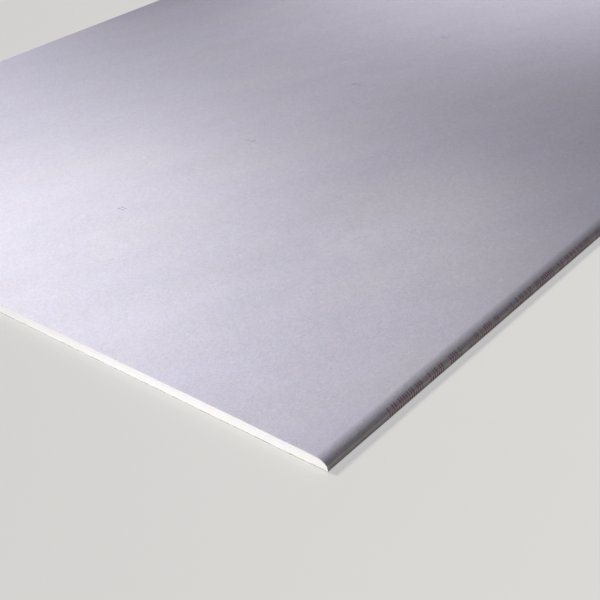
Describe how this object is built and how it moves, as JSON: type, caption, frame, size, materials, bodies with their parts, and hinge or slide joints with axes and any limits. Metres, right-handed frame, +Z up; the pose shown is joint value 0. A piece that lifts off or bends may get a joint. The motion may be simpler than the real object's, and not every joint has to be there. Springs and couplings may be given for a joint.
{
  "type": "drywall sheet",
  "caption": "Flat paper-faced gypsum board sheet with half-round tapered long edges and bare square-cut ends.",
  "frame": {"origin": "middle of the sheet's back, on the surface that the sheet lies on", "axes": "+X along the sheet's length, +Y across its width, +Z up through its thickness, from the back to the face"},
  "size_m": [2, 1.25, 0.0125],
  "materials": {
    "gypsum": "matte",
    "face_liner": "matte",
    "back_liner": "matte"
  },
  "bodies": {
    "root": {"gypsum_core": "gypsum", "face_paper": "face_liner", "back_paper": "back_liner"}
  },
  "joints": []
}
